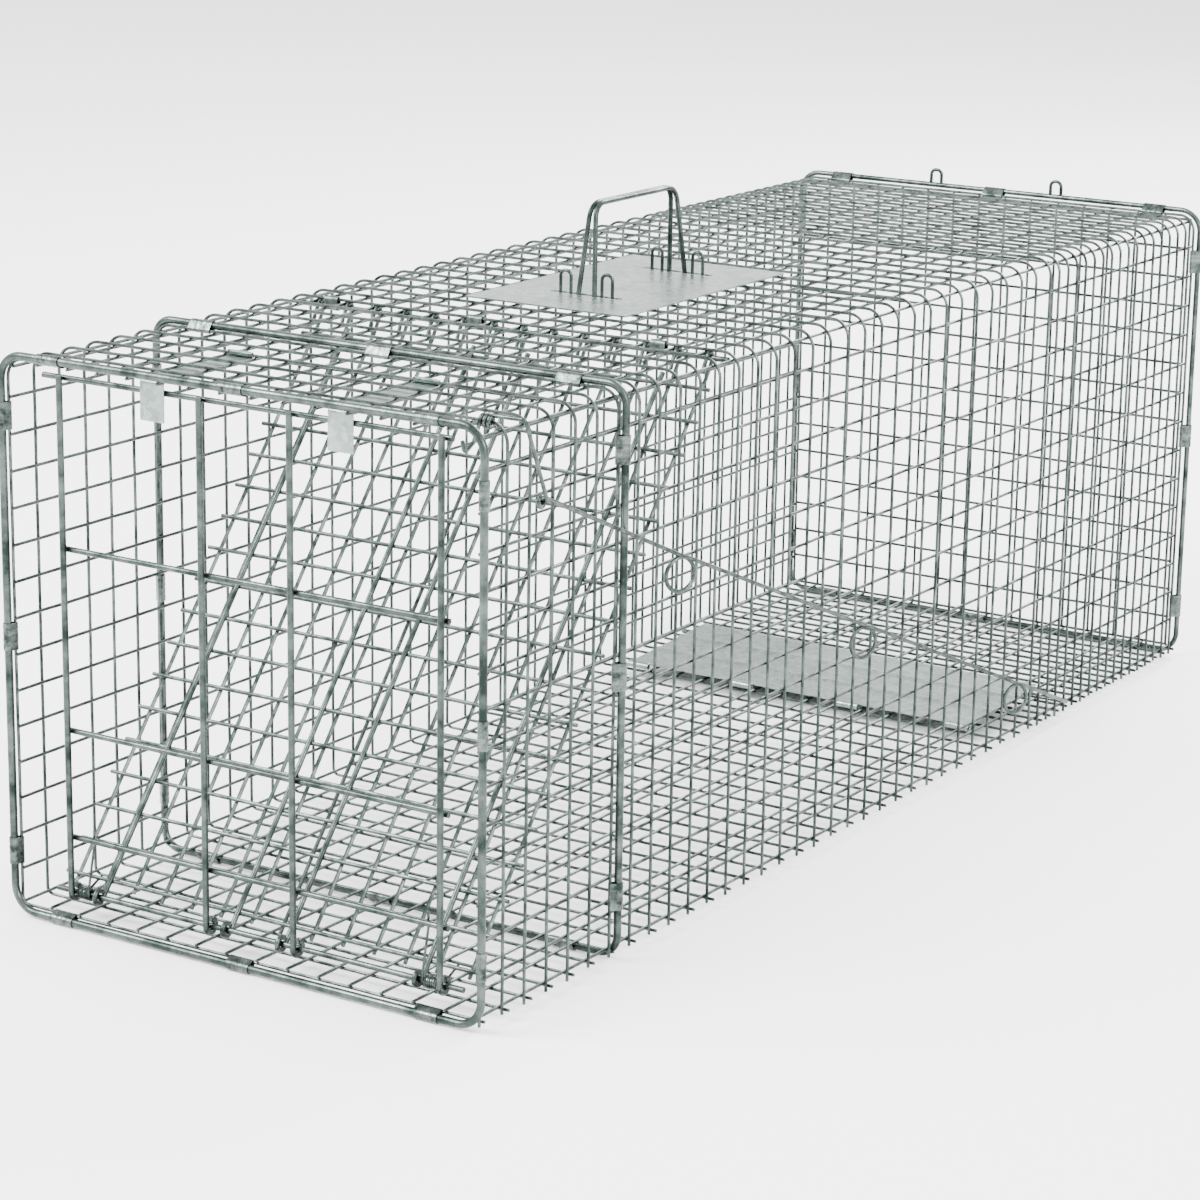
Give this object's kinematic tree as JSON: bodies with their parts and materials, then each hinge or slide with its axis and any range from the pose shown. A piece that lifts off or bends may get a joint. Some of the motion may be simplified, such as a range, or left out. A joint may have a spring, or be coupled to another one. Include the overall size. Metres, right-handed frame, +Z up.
{
  "type": "live catch trap",
  "caption": "Long wire-mesh live animal trap with a sloping gravity door, hinged brace grille, trigger pan, side link rod, carrying handle and roof guard plate.",
  "frame": {"origin": "on the ground below the middle of the cage", "axes": "+X across the cage to the side with the link rod, +Y along the cage from the door to the closed end, +Z up"},
  "size_m": [0.4036, 1.0826, 0.4606],
  "materials": {
    "mesh_wire": "galvanised, satin",
    "frame_rod": "galvanised, satin",
    "sheet_steel": "galvanised sheet with a fine spangle",
    "clip_steel": "galvanised, crimped",
    "spring_wire": "zinc plated spring wire",
    "handle_wire": "bright zinc plated"
  },
  "bodies": {
    "cage": {"floor_mesh": "mesh_wire", "roof_mesh": "mesh_wire", "left_wall_mesh": "mesh_wire", "right_wall_mesh": "mesh_wire", "rear_wall_mesh": "mesh_wire", "front_hoop": "frame_rod", "second_hoop": "frame_rod", "rear_frame": "frame_rod", "front_hoop_clips": "clip_steel", "second_hoop_clips": "clip_steel", "rear_frame_clips": "clip_steel", "rear_loops": "frame_rod", "roof_hinge_rod": "frame_rod", "left_stop_strip": "sheet_steel", "right_stop_strip": "sheet_steel", "handle_guard": "sheet_steel", "handle_bail": "handle_wire", "handle_staples": "handle_wire"},
    "top_bar": {"brace_top_bar": "frame_rod"},
    "brace": {"brace_bar_1": "frame_rod", "brace_bar_2": "frame_rod", "brace_bar_3": "frame_rod", "brace_bar_4": "frame_rod", "brace_crossbar_low": "frame_rod", "brace_crossbar_middle": "frame_rod", "brace_crossbar_high": "frame_rod", "left_torsion_spring": "spring_wire", "right_torsion_spring": "spring_wire"},
    "door": {"door_mesh": "mesh_wire", "door_stiffener_1": "frame_rod", "door_stiffener_2": "frame_rod", "door_stiffener_3": "frame_rod", "door_stiffener_4": "frame_rod", "pivot_rod": "frame_rod"},
    "lever": {"trigger_lever": "spring_wire"},
    "link": {"link_rod": "spring_wire"},
    "pan": {"trigger_pan": "sheet_steel", "pan_hinge_curls": "sheet_steel"}
  },
  "joints": [
    {"name": "brace_fold", "type": "hinge", "parent": "top_bar", "child": "brace", "pos_m": [0, -0.5207, 0.37874], "axis": [-1, 0, 0], "range_deg": [0, 84.41], "stiffness_Nm_per_rad": 1, "springref_deg": -68.75},
    {"name": "brace_top_slide", "type": "slide", "parent": "cage", "child": "top_bar", "axis": [0, 1, 0], "range_m": [0, 0.1845]},
    {"name": "door_swing", "type": "hinge", "parent": "brace", "child": "door", "pos_m": [0, -0.5207, 0.01933], "axis": [-1, 0, 0], "range_deg": [-38.17, 0]},
    {"name": "pan_tilt", "type": "hinge", "parent": "cage", "child": "pan", "pos_m": [0, 0.2032, 0.0117], "axis": [1, 0, 0], "range_deg": [0, 7]},
    {"name": "lever_turn", "type": "hinge", "parent": "cage", "child": "lever", "pos_m": [0, -0.508, 0.39], "axis": [1, 0, 0], "range_deg": [-7.43, 0]},
    {"name": "link_rod_turn", "type": "hinge", "parent": "lever", "child": "link", "pos_m": [0.1992, -0.48108, 0.33683], "axis": [1, 0, 0], "range_deg": [0, 8.63]}
  ],
  "couplings": [
    {"joint": "brace_top_slide", "follows": "brace_fold", "m_per_rad": 0.12486},
    {"joint": "door_swing", "follows": "brace_fold", "ratio": -0.45098},
    {"joint": "lever_turn", "follows": "pan_tilt", "ratio": -1.0471},
    {"joint": "link_rod_turn", "follows": "pan_tilt", "ratio": 1.2192}
  ]
}
